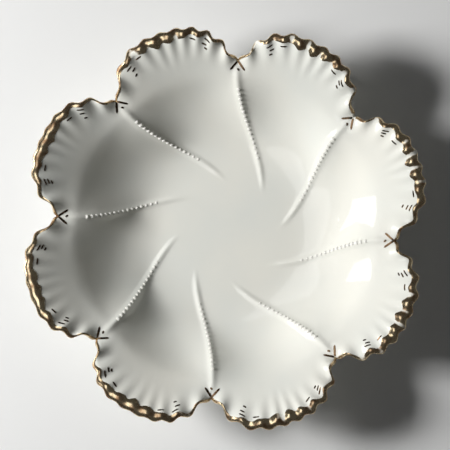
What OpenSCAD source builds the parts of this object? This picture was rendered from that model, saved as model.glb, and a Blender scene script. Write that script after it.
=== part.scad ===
// Leaf dish: a shallow porcelain dish moulded as a pinwheel of cupped leaves.
// Swirled ribs part the leaves, a row of slip beads lies on each rib, the fluted
// rim of each leaf is gilded, and the dish stands on a luted foot ring.
// The dish stands on z = 0 with its axis on z, and leaf 1 points along +x.

/* [Dish] */
// Number of leaves round the dish
leaf_count = 8; // [6:1:10]
// Diameter over the leaf tips
dish_d = 235; // [210:1:260]
// Diameter at the notches between leaves
notch_d = 192; // [179:1:204]
// How far the shoulders of a leaf stand out from the arc through its tip and notches
shoulder = 1.8; // [0:0.1:4]
// Height above the table that the lip's slope would reach at the leaf tips
tip_h = 48; // [43:0.5:55]
// Thickness of the wall
wall = 3.2; // [2.4:0.1:4.5]
// Thickness of the wall at its lip
lip_wall = 2; // [1.4:0.1:2.4]

/* [Ribs] */
// Turn of a rib from its notch to the middle, in degrees
swirl = 93; // [60:1:120]
// How sharply the turn gathers towards the middle
swirl_rate = 2.6; // [2:0.1:3.2]
// Height of the crest of a rib
rib_h = 0.6; // [0.3:0.1:1.2]
// How narrow the crest of a rib is
rib_power = 5; // [3:0.1:7]

/* [Leaves] */
// Radius inside which the floor is round
well_r = 24; // [20:0.5:28]
// Radius at which the floor starts to rise
floor_r = 35; // [30:0.5:40]
// Power by which the wall steepens
wall_power = 2.1; // [1.8:0.1:2.8]
// Width of the lip at the leaf tips
lip_w = 30.5; // [24:0.5:34]
// Slope of the lip, in degrees
lip_angle = 30; // [24:1:35]
// Length over which a leaf's lines turn into its flutes
lip_reach = 30; // [24:0.5:36]
// Height that the ribs have over the middle of a leaf, where its cup is deepest
cup_h = 6; // [3:0.1:7]
// How wide the bottom of a cup is
cup_power = 2.2; // [1.8:0.1:3]

/* [Flutes] */
// Flutes on the rim of a leaf
flutes = 9; // [5:1:13]
// Widening of the flutes towards the notches
flute_spread = 1.25; // [1.1:0.05:2]
// Depth of the flutes at the leaf tip
flute_tip = 0.7; // [0.3:0.1:1.5]
// Depth of the flutes on the flanks
flute_flank = 2.3; // [0.5:0.1:3]
// Fall of a flute for each unit that it stands out
flute_fall = 0.9; // [0:0.1:1.5]

/* [Rolled edge] */
// Width of the lip's rolled edge at the leaf tip
roll_tip_w = 6; // [3:0.1:8]
// Width of the lip's rolled edge at the notch
roll_notch_w = 2; // [1:0.1:3]
// Fall of the rolled edge for each unit of its width
roll_fall = 0.7; // [0:0.05:0.9]

/* [Gilding] */
// Thickness that the gilding of the rolled edge is drawn with
gilt_t = 0.2; // [0.1:0.05:0.4]

/* [Beads] */
// Diameter of the outermost bead
bead_d = 2.4; // [1.8:0.1:3]
// Diameter of the innermost bead
bead_inner_d = 1.8; // [1.2:0.1:2.4]
// Gap between the outermost beads
bead_gap = 0.6; // [0.2:0.05:1.2]
// Height of a bead's centre over the crest, as a share of its radius
bead_lift_share = 0.1; // [0.05:0.05:0.4]

/* [Foot] */
// Outer diameter of the foot ring where it meets the dish
foot_d = 92; // [80:1:98]
// Width of the foot ring where it meets the dish
foot_w = 6; // [4:0.5:8]
// Width of the flat that the dish stands on
foot_flat_w = 2.6; // [1.5:0.1:3.5]
// Height of the foot ring
foot_h = 4; // [2.5:0.5:7]

/* [Hidden] */
PORCELAIN = [0.93, 0.93, 0.89];
SLIP = [0.95, 0.95, 0.92];
BISCUIT = [0.86, 0.84, 0.78];
GOLD = [0.72, 0.54, 0.25];

// Plan of a leaf: the arc through its tip and its two notches
half_angle = 180 / leaf_count;
tip_r = dish_d / 2;
notch_r = notch_d / 2;
fan_centre_r = (tip_r^2 - notch_r^2) / (2 * (tip_r - notch_r * cos(half_angle)));
fan_r = tip_r - fan_centre_r;
fan_half = atan2(notch_r * sin(half_angle), notch_r * cos(half_angle) - fan_centre_r);
floor_z = foot_h + wall;
lip_r = tip_r - lip_w;
lip_z = tip_h - lip_w * tan(lip_angle);
bead_pitch = max(bead_d, bead_inner_d) + bead_gap;

// Shares of the way from the well to the rim
flute_tip_share = 0.64;     // where the flutes start at the leaf tip
flute_notch_share = 0.8;    // where the flutes start beside the notches
lip_share = 0.77;           // where the finer facets start

// Shares of the notch radius
cup_start = 0.52;   // where a cup starts to deepen
cup_full = 0.785;   // where it is deepest
cup_end = 1;        // where it has run out

turn_power = 4;       // power by which the flutes turn along the ribs
flute_growth = 1.6;   // power by which a flute deepens towards the rim
flank_power = 1.5;    // power by which flutes and gilding change towards the notches
lip_power = 4;        // power by which the wall thins towards the lip
lip_blend = 3;        // softness of the break between wall and lip
rib_fade = 10;        // length over which a rib rises out of the well

// The underside is flat over the foot ring and rises to follow the leaves outside it
foot_margin = 1.5;
foot_blend = 8;
flat_r = foot_d / 2 + foot_margin;

// Facets: rings from the well to the rim, and steps across a leaf
plain_rings = [0, 0.14, 0.27, 0.38, 0.48, 0.57, 0.66, lip_share];
under_rings = [0.72, 0.57, 0.42, 0.28];
under_rim_ring = 0.87;
plain_steps = 16;
flute_steps = 5;
flank_steps = 3;
bead_rings = [2, len(plain_rings) - 1];   // the beads lie between these plain rings
seat_depth = 4;                           // depth of the solid that trims the beads to the rib
probe = 0.01;                             // step for measuring a slope

LEAVES = [1:leaf_count];

function ease(x) = let (c = min(max(x, 0), 1)) c * c * (3 - 2 * c);
function mix(a, b, share) = a * (1 - share) + b * share;
function unit(v) = v / norm(v);
function ray(angle) = [cos(angle), sin(angle)];
function turned(p, angle) = [
    p.x * cos(angle) - p.y * sin(angle),
    p.x * sin(angle) + p.y * cos(angle),
    p.z
];
function leaf_angle(k) = (k - 1) * 2 * half_angle;

// Direction of a flute in plan. t runs from -1 to 1 across a leaf, from rib to rib.
function flute_angle(t) =
    mix(fan_half * t, half_angle * sign(t), abs(t)^turn_power);

// Plan of a leaf's line t, from the well at s = 0 to the rim at s = 1
function leaf_plan(t, s) =
    let (
        start = well_r * ray(half_angle * t),
        rim = [fan_centre_r, 0] + (fan_r + shoulder * sin(180 * t)^2) * ray(fan_half * t),
        bend = rim - lip_reach * ray(flute_angle(t))
    )
    (1 - s)^2 * start + 2 * s * (1 - s) * bend + s^2 * rim;

// Height of a leaf over a point in plan. The wall steepens up to its break, the lip is a cone that
// breaks out of it, and ribs and cups lie on both.
function bowl_height(r) =
    let (
        past = r - lip_r,
        on_lip = (past + sqrt(past^2 + lip_blend^2)) / 2,
        on_wall = max(0, r - on_lip - floor_r) / (lip_r - floor_r)
    )
    mix(floor_z, lip_z, on_wall^wall_power) + on_lip * tan(lip_angle);
function rib_height(r) = rib_h * ease((r - well_r) / rib_fade);
function cup_height(share) =
    cup_h
    * ease((share - cup_start) / (cup_full - cup_start))
    * ease((cup_end - share) / (cup_end - cup_full));
function leaf_height(plan) =
    let (r = norm(plan), beside = abs(atan2(plan.y, plan.x)) / half_angle)
    bowl_height(r) + rib_height(r) * beside^rib_power + cup_height(r / notch_r) * beside^cup_power;

// Flutes: a wave along the rim that is widest and deepest beside the notches, with a crest in each notch
function flute_count(t) = sign(t) * flutes / 2 * (1 - (1 - abs(t))^flute_spread);
function flute_place(n) = sign(n) * (1 - (1 - 2 * abs(n) / flutes)^(1 / flute_spread));
function flute_out(t, s) =
    let (start = mix(flute_tip_share, flute_notch_share, abs(t)))
    cos(360 * (flute_count(t) + flutes / 2))
    * mix(flute_tip, flute_flank, abs(t)^flank_power)
    * (max(0, s - start) / (1 - start))^flute_growth;

// The lip's edge rolls over along a parabola. Near the rim, a leaf's line runs 2 * lip_reach to a unit of s.
function roll_w(t) = mix(roll_tip_w, roll_notch_w, abs(t)^flank_power);
function roll_share(t) = 1 - roll_w(t) / (2 * lip_reach);
function roll_drop(t, s) = roll_fall * roll_w(t) * (max(0, s - roll_share(t)) / (1 - roll_share(t)))^2;

function swirl_angle(r) = -swirl * max(0, 1 - r / notch_r)^swirl_rate;

// A point on the upper face, or on the same face without its flutes
function leaf_point(t, s, fluting = 1) =
    let (
        plan = leaf_plan(t, s),
        out = fluting * flute_out(t, s),
        ruffled = plan + out * ray(flute_angle(t)),
        height = leaf_height(plan) - flute_fall * out - roll_drop(t, s)
    )
    turned([ruffled.x, ruffled.y, height], swirl_angle(norm(ruffled)));

// Upward normal of the face without its flutes, and along the crest of a rib
function leaf_normal(t, s) =
    let (along = leaf_point(t, min(s + probe, 1), 0) - leaf_point(t, max(s - probe, 0), 0))
    abs(t) > 1 - probe
        ? unit([-along.x * along.z, -along.y * along.z, along.x^2 + along.y^2])
        : unit(cross(along, leaf_point(t + probe, s, 0) - leaf_point(t - probe, s, 0)));

// A point on the underside, one wall below the upper face and flat over the foot ring
function under_point(t, s) =
    let (
        top = leaf_point(t, s),
        below = top - mix(wall, lip_wall, s^lip_power) * leaf_normal(t, s),
        clear = norm([top.x, top.y]) - flat_r
    )
    mix([top.x, top.y, foot_h], below, ease(clear / foot_blend));

// A point on the round edge of the flat
function flat_point(t) = turned([each flat_r * ray(half_angle * t), foot_h], swirl_angle(flat_r));

// The rings of the lip, of which the last three carry the gilding of the rolled edge
function lip_rings(t) = let (roll = roll_share(t)) [mix(lip_share, roll, 0.5), roll, mix(roll, 1, 0.5), 1];
LIP_RINGS = 4;
GILT_RINGS = [1, 2, 3];

// Steps across a leaf: even on the plain part, and a fixed number to each flute at the rim
plain_across = [for (i = [0:plain_steps]) -1 + 2 * i / plain_steps];
last_flute = flute_place((flutes - 1) / 2);
rim_across = concat(
    [for (i = [0:flank_steps - 1]) mix(-1, -last_flute, i / flank_steps)],
    [for (i = [0:flute_steps * (flutes - 1)]) flute_place(i / flute_steps - (flutes - 1) / 2)],
    [for (i = [1:flank_steps]) mix(last_flute, 1, i / flank_steps)]
);

// A ring of points round the dish is the same row of one leaf, turned to each leaf in turn
function all_round(row) = [for (k = LEAVES)
    for (i = [0:len(row) - 2]) turned(row[i], leaf_angle(k))];

// Triangles between two rows of one leaf: 0 steps along the first row and 1 along the second
function zipper(a, b, i = 0, j = 0) =
    i == len(a) - 1 && j == len(b) - 1 ? []
    : j == len(b) - 1 || (i < len(a) - 1 && a[i + 1] <= b[j + 1])
        ? concat([[0, i, j]], zipper(a, b, i + 1, j))
        : concat([[1, i, j]], zipper(a, b, i, j + 1));

// The triangles of a band between two rings, which start at points first_a and first_b
function band(first_a, a, first_b, b) =
    let (
        steps_a = len(a) - 1,
        steps_b = len(b) - 1,
        around_a = steps_a * leaf_count,
        around_b = steps_b * leaf_count
    )
    [for (k = [0:leaf_count - 1]) for (step = zipper(a, b))
        let (
            i = k * steps_a + step[1],
            j = k * steps_b + step[2],
            at_a = first_a + i % around_a,
            at_b = first_b + j % around_b
        )
        step[0] == 0
            ? [at_a, first_a + (i + 1) % around_a, at_b]
            : [at_a, first_b + (j + 1) % around_b, at_b]];

function running_total(list, i = 0, sum = 0) =
    i == len(list) ? [sum] : concat([sum], running_total(list, i + 1, sum + list[i]));

// The point at a distance along a line of points, whose distances are in reach
function point_along(points, reach, at) = [for (axis = [0:2])
    lookup(at, [for (i = [0:len(points) - 1]) [reach[i], points[i][axis]]])];

// A solid through sections that all have as many points. The second half of a section runs back along
// the first, so its triangles are split the other way and lie over the first half's.
module loft(sections) {
    across = len(sections[0]);
    rows = len(sections);
    sides = [for (i = [0:rows - 2]) for (p = [0:across - 1])
        let (
            a = i * across + p,
            b = i * across + (p + 1) % across,
            c = (i + 1) * across + p,
            d = (i + 1) * across + (p + 1) % across
        )
        each p < across / 2 ? [[a, b, c], [b, d, c]] : [[a, b, d], [a, d, c]]];
    ends = [for (p = [0:across / 2 - 2])
        let (q = across - 1 - p, last = (rows - 1) * across)
        each [
            [p, q, p + 1], [p + 1, q, q - 1],
            [last + p, last + p + 1, last + q], [last + p + 1, last + q - 1, last + q]
        ]];
    polyhedron(points = [for (section = sections) each section], faces = concat(sides, ends));
}

// The moulded dish: the rings run over the leaves, round the lip and back under the dish
module dish_body() {
    plain_rows = [for (s = plain_rings) [for (t = plain_across) leaf_point(t, s)]];
    lip_rows = [for (ring = [0:LIP_RINGS - 1])
        [for (t = rim_across) leaf_point(t, lip_rings(t)[ring])]];
    under_lip_rows = [for (s = [1, under_rim_ring]) [for (t = rim_across) under_point(t, s)]];
    under_rows = [for (s = under_rings) [for (t = plain_across) under_point(t, s)]];
    flat_row = [for (t = plain_across) flat_point(t)];
    rows = concat(plain_rows, lip_rows, under_lip_rows, under_rows, [flat_row]);
    steps = [for (row = rows) len(row) == len(rim_across) ? rim_across : plain_across];
    first = running_total([for (row = rows) (len(row) - 1) * leaf_count]);
    top_centre = first[len(rows)];
    under_centre = top_centre + 1;
    around = plain_steps * leaf_count;
    last = first[len(rows) - 1];
    color(PORCELAIN)
        polyhedron(
            points = concat(
                [for (row = rows) each all_round(row)],
                [[0, 0, bowl_height(0)], [0, 0, foot_h]]
            ),
            faces = concat(
                [for (i = [0:around - 1]) [top_centre, (i + 1) % around, i]],
                [for (r = [0:len(rows) - 2]) each band(first[r], steps[r], first[r + 1], steps[r + 1])],
                [for (i = [0:around - 1]) [last + i, last + (i + 1) % around, under_centre]]
            )
        );
}

// The foot ring: a tapered ring that carries the dish on a narrow flat
module foot_ring() {
    outer = foot_d / 2;
    taper = (foot_w - foot_flat_w) / 2;
    color(BISCUIT)
        rotate_extrude($fn = 128)
            polygon([
                [outer - foot_w, foot_h],
                [outer - foot_w + taper, 0],
                [outer - taper, 0],
                [outer, foot_h]
            ]);
}

// The gilding of leaf k: a skin over the rolled edge, down to the foot of the lip
module gilt_edge(k) {
    sections = [for (t = rim_across)
        let (
            outward = [each ray(flute_angle(t)), 0],
            face = [for (ring = GILT_RINGS) leaf_point(t, lip_rings(t)[ring])],
            lift = [for (ring = GILT_RINGS) gilt_t * leaf_normal(t, lip_rings(t)[ring])],
            under = under_point(t, 1)
        )
        [
            each face,
            under,
            under + gilt_t * outward,
            face[2] + lift[2] + gilt_t * outward,
            face[1] + lift[1],
            face[0] + lift[0]
        ]];
    color(GOLD)
        rotate(leaf_angle(k))
            loft(sections);
}

// The crest of the rib after leaf 1, as the dish's own facets with a solid under them
module rib_seat() {
    beside = plain_across[plain_steps - 1];
    down = [0, 0, -seat_depth];
    loft([for (s = plain_rings)
        let (
            left = leaf_point(beside, s),
            crest = leaf_point(1, s),
            right = turned(leaf_point(-beside, s), 2 * half_angle)
        )
        [left, crest, right, right + down, crest + down, left + down]]);
}

// The slip beads on the rib after leaf k, evenly spaced along its crest and trimmed to it
module bead_row(k) {
    crest = [for (s = plain_rings) leaf_point(1, s)];
    reach = running_total([for (i = [0:len(crest) - 2]) norm(crest[i + 1] - crest[i])]);
    start = reach[bead_rings[0]];
    count = floor((reach[bead_rings[1]] - bead_d - start) / bead_pitch);
    color(SLIP)
        rotate(leaf_angle(k))
            difference() {
                for (i = [0:count]) {
                    at = start + i * bead_pitch;
                    r = mix(bead_inner_d, bead_d, i / count) / 2;
                    translate(point_along(crest, reach, at) + [0, 0, bead_lift_share * r])
                        sphere(r = r, $fn = 24);
                }
                rib_seat();
            }
}

dish_body();
foot_ring();
for (k = LEAVES) {
    gilt_edge(k);
    bead_row(k);
}
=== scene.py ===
from math import atan2, cos, exp, pi, radians, sin, sqrt, tan

import bpy
from mathutils import Matrix, Vector


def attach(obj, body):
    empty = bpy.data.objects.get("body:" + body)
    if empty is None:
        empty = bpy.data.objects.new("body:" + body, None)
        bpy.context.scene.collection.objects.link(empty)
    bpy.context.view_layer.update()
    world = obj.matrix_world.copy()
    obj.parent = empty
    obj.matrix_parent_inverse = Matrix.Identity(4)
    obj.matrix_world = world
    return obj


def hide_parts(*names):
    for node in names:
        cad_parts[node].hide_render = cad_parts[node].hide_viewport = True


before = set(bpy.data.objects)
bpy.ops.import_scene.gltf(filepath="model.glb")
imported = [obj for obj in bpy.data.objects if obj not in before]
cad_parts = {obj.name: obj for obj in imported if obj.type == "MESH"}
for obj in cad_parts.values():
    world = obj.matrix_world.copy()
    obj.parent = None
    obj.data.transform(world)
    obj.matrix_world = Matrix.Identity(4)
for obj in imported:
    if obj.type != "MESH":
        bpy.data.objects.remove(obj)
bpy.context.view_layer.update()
bpy.ops.object.select_all(action="DESELECT")
bpy.context.scene.view_settings.view_transform = "Standard"
print("frame loaded with", len(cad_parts), "nodes")


# small helpers

def mix(a, b, share):
    return a * (1 - share) + b * share


def ease(x):  # a soft step from 0 to 1
    x = min(max(x, 0.0), 1.0)
    return x * x * (3 - 2 * x)


def spread(first, last, count):  # count steps after first, up to and with last
    return [mix(first, last, (i + 1) / count) for i in range(count)]


def signOf(x):
    return (x > 0) - (x < 0)


def ray(angle):
    return Vector((cos(angle), sin(angle), 0.0))


def turned(point, angle):
    return Matrix.Rotation(angle, 3, "Z") @ point


def fromAbove(azimuth, elevation):  # unit vector towards a place in the room
    return ray(azimuth) * cos(elevation) + Vector((0, 0, sin(elevation)))


# the mould: the shape of one leaf, in metres and radians
leaf = {
    "count": 8,
    "tipR": 0.1175,
    "notchR": 0.096,
    "shoulder": 0.0018,
    "tipH": 0.048,
    "wall": 0.0032,
    "lipWall": 0.002,
    "wellR": 0.024,
    "floorR": 0.035,
    "wallPower": 2.4,
    "lipW": 0.0305,
    "lipAngle": radians(30),
    "lipBlend": 0.003,
    "lipReach": 0.030,
    "lipStop": 0.985,  # share of the way to the rim where the lip's round edge starts
    "edgeBulge": 0.9,  # how far that edge stands out, as a share of a half circle
    "swirl": radians(93),
    "swirlRate": 2.6,
    "ribH": 0.0008,
    "ribW": 0.0020,
    "ribStart": 0.029,
    "ribFade": 0.012,
    "cupH": 0.006,
    "cupPower": 2.2,
    "cupStart": 0.52,
    "cupFull": 0.785,
    "cupEnd": 1.0,
    "flutes": 9,
    "fluteSpread": 1.25,
    "fluteTip": 0.0007,
    "fluteFlank": 0.0023,
    "fluteFall": 0.9,
    "fluteTipShare": 0.64,
    "fluteNotchShare": 0.8,
    "fluteGrowth": 2.1,
    "turnPower": 4,
    "rollTipW": 0.006,
    "rollNotchW": 0.002,
    "rollFall": 0.85,
    "flankPower": 1.5,
    "lipPower": 4,
    "footH": 0.004,
    "flatR": 0.0475,
    "footBlend": 0.008,
}
tipR, notchR = leaf["tipR"], leaf["notchR"]
halfAngle = pi / leaf["count"]
fanCentreR = (tipR ** 2 - notchR ** 2) / (2 * (tipR - notchR * cos(halfAngle)))
fanR = tipR - fanCentreR
fanHalf = atan2(notchR * sin(halfAngle), notchR * cos(halfAngle) - fanCentreR)
floorZ = leaf["footH"] + leaf["wall"]
lipR = tipR - leaf["lipW"]
lipZ = leaf["tipH"] - leaf["lipW"] * tan(leaf["lipAngle"])

# how the maker's hand differs from leaf to leaf: flute depth, flute shift and uneven spacing
hand = [
    (1.1, -0.20, 0.10), (1.2, 0.00, 0.12), (1.1, 0.50, 0.08), (0.6, 0.06, 0.12),
    (0.5, -0.05, 0.14), (0.6, 0.05, 0.12), (1.1, -0.35, 0.10), (1.2, -0.10, 0.12),
]


def handWave(t, k):  # an unsteady hand across leaf k
    return sin(5 * t + 2 * k)


def fluteAngle(t):  # t runs from -1 to 1 across a leaf, from rib to rib
    return mix(fanHalf * t, halfAngle * signOf(t), abs(t) ** leaf["turnPower"])


def fluteOut(t, s, k):  # s runs from 0 at the well to 1 at the rim
    depth, shift, uneven = hand[k]
    middle = (1 - t * t) ** 2
    count = signOf(t) * leaf["flutes"] / 2 * (1 - (1 - abs(t)) ** leaf["fluteSpread"])
    count += middle * (shift + uneven * handWave(t, k))
    height = mix(leaf["fluteTip"] * depth, leaf["fluteFlank"], abs(t) ** leaf["flankPower"])
    start = mix(leaf["fluteTipShare"], leaf["fluteNotchShare"], abs(t))
    grown = max(0.0, s - start) / (1 - start)
    return cos(2 * pi * (count + leaf["flutes"] / 2)) * height * grown ** leaf["fluteGrowth"]


def fluteShare(t, k):  # where the rim's flute stands at t, from about -1 in a valley to 1 on a crest
    return fluteOut(t, 1, k) / (leaf["fluteTip"] * hand[k][0] + leaf["fluteFlank"] * abs(t))


def leafHeight(plan):  # a wall that steepens, a conical lip that breaks out of it, ribs and cups
    r = plan.length
    past = r - lipR
    onLip = (past + sqrt(past ** 2 + leaf["lipBlend"] ** 2)) / 2
    onWall = max(0.0, r - onLip - leaf["floorR"]) / (lipR - leaf["floorR"])
    bowl = mix(floorZ, lipZ, onWall ** leaf["wallPower"]) + onLip * tan(leaf["lipAngle"])
    beside = abs(atan2(plan.y, plan.x)) / halfAngle
    aside = (1 - beside) * halfAngle * r / leaf["ribW"]
    rib = leaf["ribH"] * ease((r - leaf["ribStart"]) / leaf["ribFade"]) * exp(-aside ** 2)
    share = r / notchR
    cup = leaf["cupH"] * ease((share - leaf["cupStart"]) / (leaf["cupFull"] - leaf["cupStart"]))
    cup *= ease((leaf["cupEnd"] - share) / (leaf["cupEnd"] - leaf["cupFull"]))
    return bowl + rib + cup * beside ** leaf["cupPower"]


def rollDrop(t, s):  # the lip's edge rolls over along a parabola
    width = mix(leaf["rollTipW"], leaf["rollNotchW"], abs(t) ** leaf["flankPower"])
    share = 1 - width / (2 * leaf["lipReach"])
    return leaf["rollFall"] * width * (max(0.0, s - share) / (1 - share)) ** 2


def swirlAngle(r):
    return -leaf["swirl"] * max(0.0, 1 - r / notchR) ** leaf["swirlRate"]


def leafPoint(t, s, k, fluting=1.0):
    flow = ray(fluteAngle(t))
    rim = Vector((fanCentreR, 0, 0)) + (fanR + leaf["shoulder"] * sin(pi * t) ** 2) * ray(fanHalf * t)
    out = fluting * fluteOut(t, s, k)
    plan = (1 - s) ** 2 * leaf["wellR"] * ray(halfAngle * t) + s * s * rim
    plan += 2 * s * (1 - s) * (rim - leaf["lipReach"] * flow)
    height = leafHeight(plan) - leaf["fluteFall"] * out - rollDrop(t, s)
    plan += out * flow
    turn = swirlAngle(plan.length) + 2 * halfAngle * k
    plan.z = height
    return turned(plan, turn)


def leafNormal(t, s, k, fluting=0.0):
    step = 0.01
    along = leafPoint(t, min(s + step, 1), k, fluting) - leafPoint(t, max(s - step, 0), k, fluting)
    if abs(t) > 1 - step:
        return Vector((-along.x * along.z, -along.y * along.z, along.x ** 2 + along.y ** 2)).normalized()
    across = leafPoint(t + step, s, k, fluting) - leafPoint(t - step, s, k, fluting)
    return along.cross(across).normalized()


def underPoint(t, s, k):
    top = leafPoint(t, s, k)
    below = top - mix(leaf["wall"], leaf["lipWall"], s ** leaf["lipPower"]) * leafNormal(t, s, k)
    clear = ease((top.xy.length - leaf["flatR"]) / leaf["footBlend"])
    return mix(Vector((top.x, top.y, leaf["footH"])), below, clear)


def lipPoint(t, turn, k, lift=0.0):  # round the lip's edge, from its top at 0 to its underside at pi
    top, under = leafPoint(t, leaf["lipStop"], k), underPoint(t, leaf["lipStop"], k)
    half = (top - under) / 2
    up = half.normalized()
    out = turned(ray(fluteAngle(t)), 2 * halfAngle * k)
    out = (out - out.dot(up) * up).normalized()
    reach = up * cos(turn) + leaf["edgeBulge"] * out * sin(turn)
    return (top + under) / 2 + (half.length + lift) * reach


# hand work on meshes

def pick(*pieces):  # select these pieces alone, with the first one active
    bpy.ops.object.select_all(action="DESELECT")
    for piece in pieces:
        piece.select_set(True)
    bpy.context.view_layer.objects.active = pieces[0]


def shapedGrid(name, across, rows, place):
    bpy.ops.object.select_all(action="DESELECT")
    bpy.ops.mesh.primitive_grid_add(x_subdivisions=across, y_subdivisions=len(rows) - 1, size=2.0)
    piece = bpy.context.object
    piece.name = piece.data.name = name
    for vertex in piece.data.vertices:
        i = round((vertex.co.x + 1) / 2 * across)
        j = round((vertex.co.y + 1) / 2 * (len(rows) - 1))
        vertex.co = place(-1 + 2 * i / across, rows[j])
    return piece


def gridSpot(index, across, rows):  # the t and the row of a grid's vertex
    return -1 + 2 * (index % (across + 1)) / across, rows[index // (across + 1)]


def joined(name, pieces):
    pick(*pieces)
    bpy.ops.object.join()
    pieces[0].name = pieces[0].data.name = name
    return pieces[0]


def applied(piece, kind, **settings):
    pick(piece)
    bpy.ops.object.modifier_add(type=kind)
    modifier = piece.modifiers[-1]
    for key, value in settings.items():
        setattr(modifier, key, value)
    bpy.ops.object.modifier_apply(modifier=modifier.name)


def closedUp(piece, reach):  # merge doubles, turn every face outwards, and shade it smooth
    pick(piece)
    bpy.ops.object.mode_set(mode="EDIT")
    bpy.ops.mesh.select_all(action="SELECT")
    bpy.ops.mesh.remove_doubles(threshold=reach)
    bpy.ops.mesh.normals_make_consistent(inside=False)
    bpy.ops.object.mode_set(mode="OBJECT")
    bpy.ops.object.shade_smooth()


def finished(piece, material, slot, *nodes):
    piece.data.materials.clear()
    piece.data.materials.append(material)
    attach(piece, "root")
    if nodes:
        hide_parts(*nodes)


# materials

def newMaterial(name):
    material = bpy.data.materials.new(name)
    material.use_nodes = True
    tree = material.node_tree
    return material, tree.nodes, tree.links, tree.nodes["Principled BSDF"]


def noise(nodes, links, scale, coords=None):
    coords = coords or nodes.new("ShaderNodeTexCoord")
    texture = nodes.new("ShaderNodeTexNoise")
    texture.inputs["Scale"].default_value = scale
    texture.inputs["Detail"].default_value = 3.0
    links.new(coords.outputs["Object"], texture.inputs["Vector"])
    return texture.outputs["Fac"]


def attribute(nodes, name):
    node = nodes.new("ShaderNodeAttribute")
    node.attribute_name = name
    return node.outputs["Fac"]


def scaledSum(nodes, links, source, factor, added):  # source times factor, and added on top
    node = nodes.new("ShaderNodeMath")
    node.operation = "MULTIPLY_ADD"
    node.inputs[1].default_value = factor
    links.new(source, node.inputs[0])
    links.new(added, node.inputs[2])
    return node.outputs["Value"]


def ramp(nodes, links, source, stops):
    node = nodes.new("ShaderNodeValToRGB")
    for element, (place, colour) in zip(node.color_ramp.elements, stops):
        element.position = place
        element.color = (*colour, 1.0)
    links.new(source, node.inputs["Fac"])
    return node.outputs["Color"]


def tintMix(nodes, links, share, first, second):  # each tint is a colour or the output of a node
    node = nodes.new("ShaderNodeMix")
    node.data_type = "RGBA"
    links.new(share, node.inputs["Factor"])
    for socket, tint in (("A", first), ("B", second)):
        if isinstance(tint, tuple):
            node.inputs[socket].default_value = (*tint, 1.0)
        else:
            links.new(tint, node.inputs[socket])
    return node.outputs["Result"]


def grey(x):
    return (x, x, x)


glazeLook = {
    "cream": (0.80, 0.79, 0.72),
    "cool": (0.74, 0.75, 0.70),
    "slip": (0.86, 0.85, 0.80),  # a lighter tint of the same glaze on the beads: painted highlight
    "cloud": 22.0,  # how often the tint changes, per metre
    "darkTo": 0.3,  # up to here the cloud has its first tint, and from lightFrom its second
    "lightFrom": 0.7,
    "gloss": 0.07,
    "ior": 1.5,
}


def glazeMaterial(name, dark, light):
    material, nodes, links, shader = newMaterial(name)
    cloud = noise(nodes, links, glazeLook["cloud"])
    tint = ramp(nodes, links, cloud, [(glazeLook["darkTo"], dark), (glazeLook["lightFrom"], light)])
    links.new(tint, shader.inputs["Base Color"])
    shader.inputs["Roughness"].default_value = glazeLook["gloss"]
    shader.inputs["IOR"].default_value = glazeLook["ior"]
    return material


giltLook = {
    "bright": (0.94, 0.77, 0.50),
    "dull": (0.44, 0.28, 0.16),
    "strokeDarkReflection": (0.22, 0.14, 0.08),  # the brush strokes, darker than the band: a painted dark reflection
    "cloud": 260.0,  # how often the gold turns from dull to bright, per metre
    "dullTo": 0.35,
    "brightFrom": 0.6,
    "roughTo": 0.3,
    "smoothFrom": 0.7,
    "rough": 0.34,
    "smooth": 0.18,
    "wearAndSheen": 70.0,  # how often the wear comes and goes, per metre
    "crestWearAndSheen": 0.34,  # how much more glaze shows through on the crests: wear, and a painted highlight
    "goldTo": 0.67,  # wear and painted crest highlight up to which the gold holds
    "bareFrom": 0.74,  # wear and painted crest highlight from which the cream glaze shows
}


def giltMaterial(name):
    material, nodes, links, shader = newMaterial(name)
    cloud = noise(nodes, links, giltLook["cloud"])
    dull, bright = giltLook["dull"], giltLook["bright"]
    gold = ramp(nodes, links, cloud, [(giltLook["dullTo"], dull), (giltLook["brightFrom"], bright)])
    rough, smooth = grey(giltLook["rough"]), grey(giltLook["smooth"])
    polish = ramp(nodes, links, cloud, [(giltLook["roughTo"], rough), (giltLook["smoothFrom"], smooth)])
    links.new(polish, shader.inputs["Roughness"])
    wearAndSheen = noise(nodes, links, giltLook["wearAndSheen"])
    # the crest marks add a painted highlight to the random wear: bare cream glaze on the flute crests
    wearAndSheen = scaledSum(nodes, links, attribute(nodes, "crest"), giltLook["crestWearAndSheen"], wearAndSheen)
    goldShare = ramp(nodes, links, wearAndSheen, [(giltLook["goldTo"], grey(1.0)), (giltLook["bareFrom"], grey(0.0))])
    links.new(goldShare, shader.inputs["Metallic"])
    goldAndCream = tintMix(nodes, links, goldShare, glazeLook["cream"], gold)
    # the strokes' dark tint is a painted dark reflection on the gold
    withDarkStrokes = tintMix(nodes, links, attribute(nodes, "stroke"), goldAndCream, giltLook["strokeDarkReflection"])
    links.new(withDarkStrokes, shader.inputs["Base Color"])
    return material


footLook = {
    "biscuit": (0.62, 0.57, 0.48),
    "bareTo": 0.0011,  # height up to which the glaze was wiped off
    "wander": 0.0008,  # how far the wiped edge wanders up and down
    "blur": 0.0001,
    "cloud": 420.0,  # how often it wanders, per metre
    "rough": 0.75,
}


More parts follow.
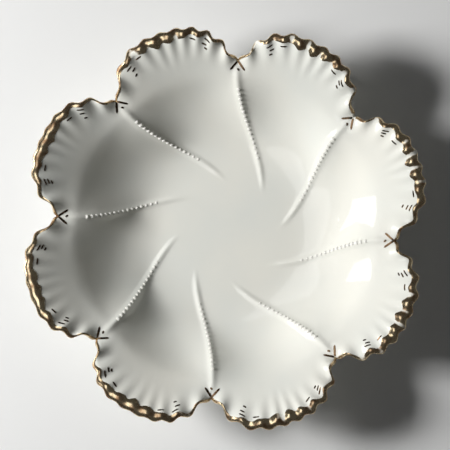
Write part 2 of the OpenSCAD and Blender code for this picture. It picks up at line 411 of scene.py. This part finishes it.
def footMaterial(name):  # glazed above, bare and rough where the ring stands
    material, nodes, links, shader = newMaterial(name)
    coords = nodes.new("ShaderNodeTexCoord")
    split = nodes.new("ShaderNodeSeparateXYZ")
    links.new(coords.outputs["Object"], split.inputs["Vector"])
    cloud = noise(nodes, links, footLook["cloud"], coords)
    edge = footLook["bareTo"] + footLook["wander"] / 2
    glazed = nodes.new("ShaderNodeMapRange")
    glazed.inputs["From Min"].default_value = edge - footLook["blur"]
    glazed.inputs["From Max"].default_value = edge + footLook["blur"]
    height = scaledSum(nodes, links, cloud, footLook["wander"], split.outputs["Z"])
    links.new(height, glazed.inputs["Value"])
    share = glazed.outputs["Result"]
    tint = ramp(nodes, links, share, [(0.0, footLook["biscuit"]), (1.0, glazeLook["cream"])])
    links.new(tint, shader.inputs["Base Color"])
    gloss = ramp(nodes, links, share, [(0.0, grey(footLook["rough"])), (1.0, grey(glazeLook["gloss"]))])
    links.new(gloss, shader.inputs["Roughness"])
    return material


glaze = glazeMaterial("creamGlaze", glazeLook["cool"], glazeLook["cream"])
# the beads get a lighter copy of the glaze: painted highlight
slip = glazeMaterial("beadGlazeWithHighlight", glazeLook["cream"], glazeLook["slip"])
biscuit = footMaterial("wipedFoot")
gilt = giltMaterial("wornGildingWithSheen")
print("materials made")

# the moulded dish: one grid for each leaf, from the middle of the well over the lip and back under
dishMesh = {
    "across": 156,
    "wellRows": 4,
    "wallRows": 22,
    "fluteRows": 22,
    "edgeRows": 7,
    "underLipRows": 10,
    "underRows": 8,
    "flatRows": 2,
    "underEnd": 0.33,
    "merge": 0.00002,
    "ribSoft": 3,  # rounds of smoothing on the crests of the ribs
    "softFrom": 0.84,  # how near to a rib the smoothing starts
    "softStart": 0.1,  # from here to softEnd it runs along the rib, and fades at both ends
    "softIn": 0.15,
    "softEnd": 0.97,
    "softOut": 0.1,
}
across = dishMesh["across"]
lipStop, fluteStart = leaf["lipStop"], leaf["fluteTipShare"]
dishRows = [("well", 0.0)]
dishRows += [("well", x) for x in spread(0, 1, dishMesh["wellRows"])]
dishRows += [("top", s) for s in spread(0, fluteStart, dishMesh["wallRows"])]
dishRows += [("top", s) for s in spread(fluteStart, lipStop, dishMesh["fluteRows"])]
dishRows += [("edge", turn) for turn in spread(0, pi, dishMesh["edgeRows"])]
dishRows += [("under", s) for s in spread(lipStop, fluteStart, dishMesh["underLipRows"])]
dishRows += [("under", s) for s in spread(fluteStart, dishMesh["underEnd"], dishMesh["underRows"])]
dishRows += [("flat", 1.0)]
dishRows += [("flat", x) for x in spread(1, 0, dishMesh["flatRows"])]


def dishPoint(t, row, k):
    kind, at = row
    if kind == "top":
        return leafPoint(t, at, k)
    if kind == "edge":
        return lipPoint(t, at, k)
    if kind == "under":
        return underPoint(t, at, k)
    r = at * (leaf["wellR"] if kind == "well" else leaf["flatR"])
    point = r * ray(halfAngle * (t + 2 * k) + swirlAngle(r))
    point.z = floorZ if kind == "well" else leaf["footH"]
    return point


def ribWeight(t, row):  # how much the crest of a rib is softened
    kind, s = row
    if kind not in ("top", "under"):
        return 0.0
    near = ease((abs(t) - dishMesh["softFrom"]) / (1 - dishMesh["softFrom"]))
    begun = ease((s - dishMesh["softStart"]) / dishMesh["softIn"])
    return near * begun * ease((dishMesh["softEnd"] - s) / dishMesh["softOut"])


leaves = []
for k in range(leaf["count"]):
    grid = shapedGrid("leaf%d" % (k + 1), across, dishRows, lambda t, row: dishPoint(t, row, k))
    ribs = grid.vertex_groups.new(name="ribs")
    for vertex in grid.data.vertices:
        weight = ribWeight(*gridSpot(vertex.index, across, dishRows))
        if weight > 0:
            ribs.add([vertex.index], weight, "REPLACE")
    leaves.append(grid)
dishBody = joined("dishBody", leaves)
closedUp(dishBody, dishMesh["merge"])
applied(dishBody, "SMOOTH", factor=0.5, iterations=dishMesh["ribSoft"], vertex_group="ribs")
dishBody.vertex_groups.clear()
finished(dishBody, glaze, "glaze", "dish_body")
print("dish body made with", len(dishBody.data.polygons), "faces")

# the gilding: a brushed band over each leaf's lip, with dabs in the valleys and strokes at the notches
giltMake = {
    "tipW": 0.0064,
    "notchW": 0.0019,
    "taper": 1.15,  # how soon the band narrows away from the tip
    "lean": 0.1,  # how far its widest place follows the shift of the flutes
    "valleyW": 0.0012,  # how much further the brush ran into the valleys
    "ragged": 0.0006,
    "raggedWaves": [(0.5, 23, 3), (0.3, 41, 1.7), (0.2, 67, 1)],  # share, waves and turn of each
    "bandRows": 6,
    "edgeRows": 7,
    "edgeTurn": 2.5,  # how far the band goes round the lip's edge
    "lift": 0.00006,
    "thick": 0.00016,
    "merge": 0.000004,
    "crease": radians(45),
    "crestSheenByLeaf": (1.0, 1.0, 0.5, 0.2, 0.2, 0.3, 0.8, 1.0),  # how strongly each leaf's crests show wear and the painted highlight, most on the leaves across from the lamps
    "edgeFade": 0.4,  # how much less the crests show wear and painted highlight at the lip's edge than inside
}
strokeMake = {
    "steps": 8,
    "dabValleys": [(0.375, 1), (0.555, 3)],  # place of a valley across the leaf, and its dabs
    "dabW": 0.0010,
    "dabHalf": 0.044,  # half the length of the outer dab, across the leaf
    "dabShorter": 0.010,  # how much shorter each dab is than the one before it
    "dabStep": 0.0020,
    "dabGap": 0.9,  # from the band to the first dab, in steps
    "dabStray": 0.015,
    "dabUneven": 0.2,
    "dabTilt": 0.002,
    "chevron": [(1.0, 0.982), (0.915, 0.862)],  # t and s of its point and of the end of an arm
    "chevronW": 0.0014,
    "dot": [(0.98, 0.91), (1.0, 0.91)],
    "dotW": 0.00168,
}


def giltWidth(t, k):
    fromTip = abs(t - giltMake["lean"] * hand[k][1])
    band = mix(giltMake["tipW"], giltMake["notchW"], ease(giltMake["taper"] * fromTip))
    valley = 0.5 - 0.5 * fluteShare(t, k)
    band += giltMake["valleyW"] * min(max(valley, 0), 1) * (1 - t * t)
    wander = sum(share * sin(waves * t + turn * k) for share, waves, turn in giltMake["raggedWaves"])
    return band + giltMake["ragged"] * wander * (1 - t ** 4)


def inward(width):  # a width in metres as a share of the way to the well
    return width / (2 * leaf["lipReach"])


def giltPoint(t, row, k):
    kind, at = row
    if kind == "edge":
        return lipPoint(t, at, k, giltMake["lift"])
    s = mix(1 - inward(giltWidth(t, k)), lipStop, at)
    return leafPoint(t, s, k) + giltMake["lift"] * leafNormal(t, s, k, 1.0)


def crestWearAndSheen(t, row, k):  # the crests show wear and a painted highlight, most inside, and less towards the outer edge
    kind, at = row
    faded = giltMake["edgeFade"] * at
    if kind == "edge":
        faded = mix(giltMake["edgeFade"], 1.0, at / giltMake["edgeTurn"])
    return giltMake["crestSheenByLeaf"][k] * (1 - faded) * max(0.0, fluteShare(t, k))


def marked(piece, name, values):  # give each vertex a value that the material reads
    marks = piece.data.attributes.new(name, "FLOAT", "POINT").data
    for mark, value in zip(marks, values):
        mark.value = value


def strokePoint(u, v, k, ends, width):  # u runs along a brush stroke, v across it, and its ends taper
    first, last = [leafPoint(t, s, k) for t, s in ends]
    along = (last - first).normalized()
    taper = sqrt(max(0.0, 1 - u ** 4))
    return mix(first, last, (u + 1) / 2) + v * taper * width / 2 * Vector((-along.y, along.x, 0.0))


def dabEnds(valley, n, side, k):  # the sines stand for an unsteady hand
    t = side * (valley + strokeMake["dabStray"] * sin(3 * n + k))
    steps = n + strokeMake["dabGap"] + strokeMake["dabUneven"] * sin(5 * n + 2 * k + side)
    s = 1 - inward(giltWidth(t, k) + strokeMake["dabStep"] * steps)
    half = strokeMake["dabHalf"] - strokeMake["dabShorter"] * n
    return (t - half, s), (t + half, s + strokeMake["dabTilt"] * sin(k + n))


def strokeEnds(k):  # dabs in the flank valleys, half a chevron at each notch and a dot at the second
    marks = []
    for side in (-1, 1):
        for valley, dabs in strokeMake["dabValleys"]:
            marks += [(dabEnds(valley, n, side, k), strokeMake["dabW"]) for n in range(dabs)]
        marks.append(([(side * t, s) for t, s in strokeMake["chevron"]], strokeMake["chevronW"]))
    marks.append((strokeMake["dot"], strokeMake["dotW"]))
    return marks


giltRows = [("top", 0.0)]
giltRows += [("top", x) for x in spread(0, 1, giltMake["bandRows"])]
giltRows += [("edge", turn) for turn in spread(0, giltMake["edgeTurn"], giltMake["edgeRows"])]
strokeRows = [-1.0, 0.0, 1.0]
for k in range(leaf["count"]):
    band = shapedGrid("giltBand", across, giltRows, lambda t, row: giltPoint(t, row, k))
    spots = [gridSpot(i, across, giltRows) for i in range(len(band.data.vertices))]
    # crest marks: wear and a painted highlight on the flute crests, strongest on the leaves across from
    # the lamps
    marked(band, "crest", [crestWearAndSheen(t, row, k) for t, row in spots])
    strokes = []
    for ends, width in strokeEnds(k):
        strokes.append(shapedGrid("stroke", strokeMake["steps"], strokeRows,
                                  lambda u, v: strokePoint(u, v, k, ends, width)))
    strokes = joined("strokes", strokes)
    applied(strokes, "SHRINKWRAP", target=dishBody, wrap_method="NEAREST_SURFACEPOINT",
            wrap_mode="ABOVE_SURFACE", offset=giltMake["lift"])
    # the stroke marks carry the painted dark reflection
    marked(strokes, "stroke", [1.0] * len(strokes.data.vertices))
    edge = joined("giltEdge%d" % (k + 1), [band, strokes])
    applied(edge, "SOLIDIFY", thickness=giltMake["thick"], offset=0.0)
    closedUp(edge, giltMake["merge"])
    bpy.ops.object.shade_smooth_by_angle(angle=giltMake["crease"])
    finished(edge, gilt, "gilt", "gilt_edge_%d" % (k + 1))
print("gilding made")

# the beads along the crest of each rib, in a lighter glaze that paints a highlight on them: one is
# modelled and copied
beadMake = {
    "first": 0.27,  # shares of the way from the well to the rim
    "last": 0.77,
    "pitch": 0.003,
    "steps": 200,  # short steps along the crest, to measure the pitch
    "innerD": 0.0018,
    "outerD": 0.0023,
    "uneven": 0.07,
    "lift": -0.1,  # height of a bead's centre over the crest, in radii
    "flat": 0.34,
    "segments": 12,
    "rings": 8,
}
straightDown = Vector((0, 0, -1))
wellAbove = Vector((0, 0, 0.02))
bpy.ops.object.select_all(action="DESELECT")
bpy.ops.mesh.primitive_uv_sphere_add(radius=1.0, segments=beadMake["segments"],
                                     ring_count=beadMake["rings"])
firstBead = bpy.context.object
bpy.ops.object.mode_set(mode="EDIT")
bpy.ops.mesh.select_all(action="SELECT")
bpy.ops.transform.resize(value=(1, 1, beadMake["flat"]), center_override=(0, 0, 0))
bpy.ops.object.mode_set(mode="OBJECT")


def crestPlaces(k):  # places along the rib after leaf k, evenly spaced
    shares = spread(beadMake["first"], beadMake["last"], beadMake["steps"])
    crest = [leafPoint(1.0, s, k) for s in [beadMake["first"]] + shares]
    places, run = [crest[0]], 0.0
    for before, after in zip(crest, crest[1:]):
        run += (after - before).length
        if run >= beadMake["pitch"]:
            places.append(after)
            run -= beadMake["pitch"]
    return places


def beadCopy(place, r):  # a bead of radius r, set down on the dish
    spot = dishBody.ray_cast(place + wellAbove, straightDown)[1]
    pick(firstBead)
    bpy.ops.object.duplicate()
    bead = bpy.context.object
    bead.location = spot + Vector((0, 0, beadMake["lift"] * r))
    bead.scale = (r, r, r)
    bpy.ops.object.transform_apply(location=True, rotation=True, scale=True)
    return bead


for k in range(leaf["count"]):
    places = crestPlaces(k)
    beads = []
    for i, place in enumerate(places):
        r = mix(beadMake["innerD"], beadMake["outerD"], i / (len(places) - 1)) / 2
        beads.append(beadCopy(place, r * (1 + beadMake["uneven"] * sin(4 * i + k))))
    row = joined("beadRow%d" % (k + 1), beads)
    bpy.ops.object.shade_smooth()
    finished(row, slip, "beads", "bead_row_%d" % (k + 1))
bpy.data.objects.remove(firstBead)
print("bead rows made")

# the foot ring: a circle drawn down, across its standing edge and up again
footMake = {
    "sides": 128,
    "profile": [  # radius and height in millimetres
        (46.0, 4.0), (45.2, 1.9), (44.65, 0.55), (44.4, 0.15), (43.9, 0.0),
        (42.1, 0.0), (41.6, 0.15), (41.35, 0.55), (40.8, 1.9), (40.0, 4.0),
    ],
    "merge": 0.00001,
    "crease": radians(50),
}
footProfile = [(0.001 * r, 0.001 * z) for r, z in footMake["profile"]]
r, z = footProfile[0]
bpy.ops.object.select_all(action="DESELECT")
bpy.ops.mesh.primitive_circle_add(vertices=footMake["sides"], radius=r, location=(0, 0, z))
footRing = bpy.context.object
footRing.name = footRing.data.name = "footRing"
bpy.ops.object.transform_apply(location=True, rotation=True, scale=True)
bpy.ops.object.mode_set(mode="EDIT")
bpy.ops.mesh.select_all(action="SELECT")
for nextR, nextZ in footProfile[1:]:
    bpy.ops.mesh.extrude_region_move(TRANSFORM_OT_translate={"value": (0, 0, nextZ - z)})
    bpy.ops.transform.resize(value=(nextR / r, nextR / r, 1), center_override=(0, 0, nextZ))
    r, z = nextR, nextZ
bpy.ops.mesh.select_all(action="DESELECT")
bpy.ops.mesh.select_non_manifold()
bpy.ops.mesh.bridge_edge_loops()
bpy.ops.object.mode_set(mode="OBJECT")
closedUp(footRing, footMake["merge"])
bpy.ops.object.shade_smooth_by_angle(angle=footMake["crease"])
finished(footRing, biscuit, "foot", "foot_ring")
print("foot ring made with", len(footRing.data.polygons), "faces")

# floor and lights
floorLook = {"size": 8.0, "colour": (0.80, 0.80, 0.79), "rough": 0.7}
bpy.ops.object.select_all(action="DESELECT")
bpy.ops.mesh.primitive_plane_add(size=floorLook["size"])
floor = bpy.context.object
floor.name = floor.data.name = "floor"
floorPaint, _, _, floorShader = newMaterial("paleFloor")
floorShader.inputs["Base Color"].default_value = (*floorLook["colour"], 1.0)
floorShader.inputs["Roughness"].default_value = floorLook["rough"]
floor.data.materials.append(floorPaint)

lamps = {  # angles in degrees, distance and size in metres, light level as radiance
    "window": dict(azimuth=155, elevation=10.5, distance=1.5, size=(0.60, 0.36), level=5.0, seen=True),
    "panel": dict(azimuth=155, elevation=62, distance=1.5, size=(1.5, 0.8), level=1.5, seen=True),
    "soft": dict(azimuth=156, elevation=35, distance=1.3, size=(0.4, 0.4), level=47.0, seen=False),
}
lampAim = Vector((0, 0, 0.025))
roomLight = 0.055
for name, look in lamps.items():
    towards = fromAbove(radians(look["azimuth"]), radians(look["elevation"]))
    bpy.ops.object.light_add(type="AREA", location=lampAim + look["distance"] * towards)
    lamp = bpy.context.object
    lamp.name = lamp.data.name = name
    lamp.data.shape = "RECTANGLE"
    lamp.data.size, lamp.data.size_y = look["size"]
    lamp.data.energy = look["level"] * pi * look["size"][0] * look["size"][1]
    lamp.rotation_euler = (-towards).to_track_quat("-Z", "Y").to_euler()
    lamp.visible_glossy = look["seen"]  # a lamp is seen in the glaze or lights it, and not both
    lamp.visible_diffuse = not look["seen"]

world = bpy.data.worlds.new("room")
bpy.context.scene.world = world
world.use_nodes = True
background = world.node_tree.nodes["Background"]
background.inputs["Color"].default_value = (1.0, 1.0, 1.0, 1.0)
background.inputs["Strength"].default_value = roomLight
print("floor and lights made")

# camera: the photograph looks almost straight down
viewpoint = {
    "target": (0.0001, 0.0026, 0.025),
    "azimuth": radians(307),
    "elevation": radians(83.5),
    "distance": 1.4,
    "upTowards": radians(72),  # the direction in plan that points up in the picture
    "lens": 195.0,
    "sensor": 36.0,
}
target = Vector(viewpoint["target"])
back = fromAbove(viewpoint["azimuth"], viewpoint["elevation"])
right = ray(viewpoint["upTowards"]).cross(back).normalized()
bpy.ops.object.camera_add(location=target + viewpoint["distance"] * back)
camera = bpy.context.object
camera.rotation_euler = Matrix((right, back.cross(right), back)).transposed().to_euler()
camera.data.sensor_width = viewpoint["sensor"]
camera.data.lens = viewpoint["lens"]
bpy.context.scene.camera = camera
print("camera set")
